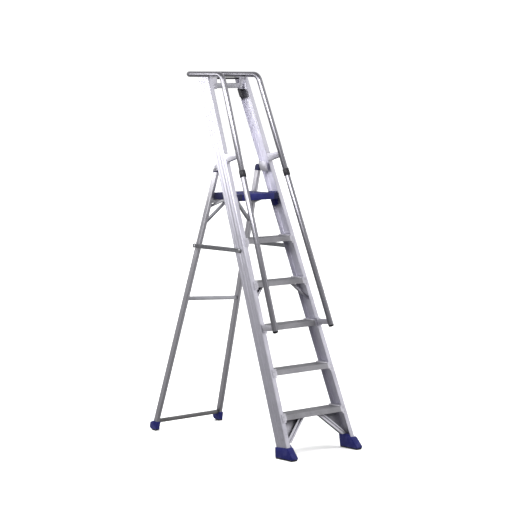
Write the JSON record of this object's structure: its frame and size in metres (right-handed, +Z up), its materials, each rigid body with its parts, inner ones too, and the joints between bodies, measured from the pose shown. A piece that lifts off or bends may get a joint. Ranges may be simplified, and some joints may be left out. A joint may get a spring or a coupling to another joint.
{
  "type": "platform step ladder",
  "caption": "Folding platform step ladder: channel stiles with ribbed treads, hinged platform, tubular handrail hoop, folding rear frame and side stays.",
  "frame": {"origin": "centre of the bounding box at floor level, ladder standing open", "axes": "+Z up, climbing side towards -Y, +X to the climber's right"},
  "size_m": [0.544, 1.2503, 2.121],
  "materials": {
    "stile_aluminium": "mill finish extruded channel",
    "leg_aluminium": "mill finish rectangular tube",
    "bar_aluminium": "mill finish",
    "tread_aluminium": "ribbed mill finish",
    "bracket_aluminium": "satin",
    "handrail_aluminium": "satin drawn tube",
    "stay_steel": "galvanised strip",
    "fastener_steel": "zinc plated",
    "foot_plastic": "moulded blue",
    "platform_plastic": "moulded blue",
    "hinge_plastic": "moulded dark blue",
    "grip_plastic": "moulded black"
  },
  "bodies": {
    "front_frame": {"front_stile_left": "stile_aluminium", "front_stile_right": "stile_aluminium", "front_foot_left": "foot_plastic", "front_foot_right": "foot_plastic", "tread_1": "tread_aluminium", "tread_2": "tread_aluminium", "tread_3": "tread_aluminium", "tread_4": "tread_aluminium", "tread_5": "tread_aluminium", "lower_brace_left": "bracket_aluminium", "lower_brace_right": "bracket_aluminium", "upper_brace_left": "bracket_aluminium", "upper_brace_right": "bracket_aluminium", "knee_rail": "bar_aluminium", "knee_rail_bracket_left": "bracket_aluminium", "knee_rail_bracket_right": "bracket_aluminium", "top_bar": "grip_plastic", "channel_block_left": "grip_plastic", "channel_block_right": "grip_plastic", "handrail_lower_left": "handrail_aluminium", "handrail_lower_right": "handrail_aluminium", "handrail_plug_left": "grip_plastic", "handrail_plug_right": "grip_plastic", "handrail_collar_left": "grip_plastic", "handrail_collar_right": "grip_plastic", "handrail_hoop": "handrail_aluminium", "handrail_lower_bracket_left": "bracket_aluminium", "handrail_lower_bracket_right": "bracket_aluminium", "handrail_upper_bracket_left": "bracket_aluminium", "handrail_upper_bracket_right": "bracket_aluminium", "pivot_block_left": "platform_plastic", "pivot_block_right": "platform_plastic", "platform_pin_left": "fastener_steel", "platform_pin_right": "fastener_steel", "hinge_bracket_left": "bracket_aluminium", "hinge_bracket_right": "bracket_aluminium", "hinge_pin_left": "fastener_steel", "hinge_pin_right": "fastener_steel", "stay_rivet_left": "fastener_steel", "stay_rivet_right": "fastener_steel"},
    "rear_frame": {"rear_leg_left": "leg_aluminium", "rear_leg_right": "leg_aluminium", "rear_knuckle_left": "hinge_plastic", "rear_knuckle_right": "hinge_plastic", "rear_foot_left": "foot_plastic", "rear_foot_right": "foot_plastic", "rear_bottom_bar": "bar_aluminium", "rear_middle_bar": "bar_aluminium", "platform_rail": "bar_aluminium", "platform_rail_brace_left": "bar_aluminium", "platform_rail_brace_right": "bar_aluminium", "support_arm_left": "fastener_steel", "support_arm_right": "fastener_steel", "stay_stud_left": "fastener_steel", "stay_stud_right": "fastener_steel"},
    "platform": {"platform_deck": "platform_plastic"},
    "stay_left": {"side_stay_left": "stay_steel"},
    "stay_right": {"side_stay_right": "stay_steel"}
  },
  "joints": [
    {"name": "rear_frame_fold", "type": "hinge", "parent": "front_frame", "child": "rear_frame", "pos_m": [0, 0.138, 1.57], "axis": [-1, 0, 0], "range_deg": [0, 36.5]},
    {"name": "platform_lift", "type": "hinge", "parent": "front_frame", "child": "platform", "pos_m": [0, 0.012, 1.4], "axis": [1, 0, 0], "range_deg": [0, 68.1]},
    {"name": "stay_lift_left", "type": "hinge", "parent": "front_frame", "child": "stay_left", "pos_m": [-0.2108, -0.114, 1.12], "axis": [1, 0, 0], "range_deg": [0, 68.1]},
    {"name": "stay_lift_right", "type": "hinge", "parent": "front_frame", "child": "stay_right", "pos_m": [0.2108, -0.114, 1.12], "axis": [1, 0, 0], "range_deg": [0, 68.1]}
  ],
  "couplings": [
    {"joint": "platform_lift", "follows": "rear_frame_fold", "ratio": 1.863},
    {"joint": "stay_lift_left", "follows": "rear_frame_fold", "ratio": 1.863},
    {"joint": "stay_lift_right", "follows": "rear_frame_fold", "ratio": 1.863}
  ]
}
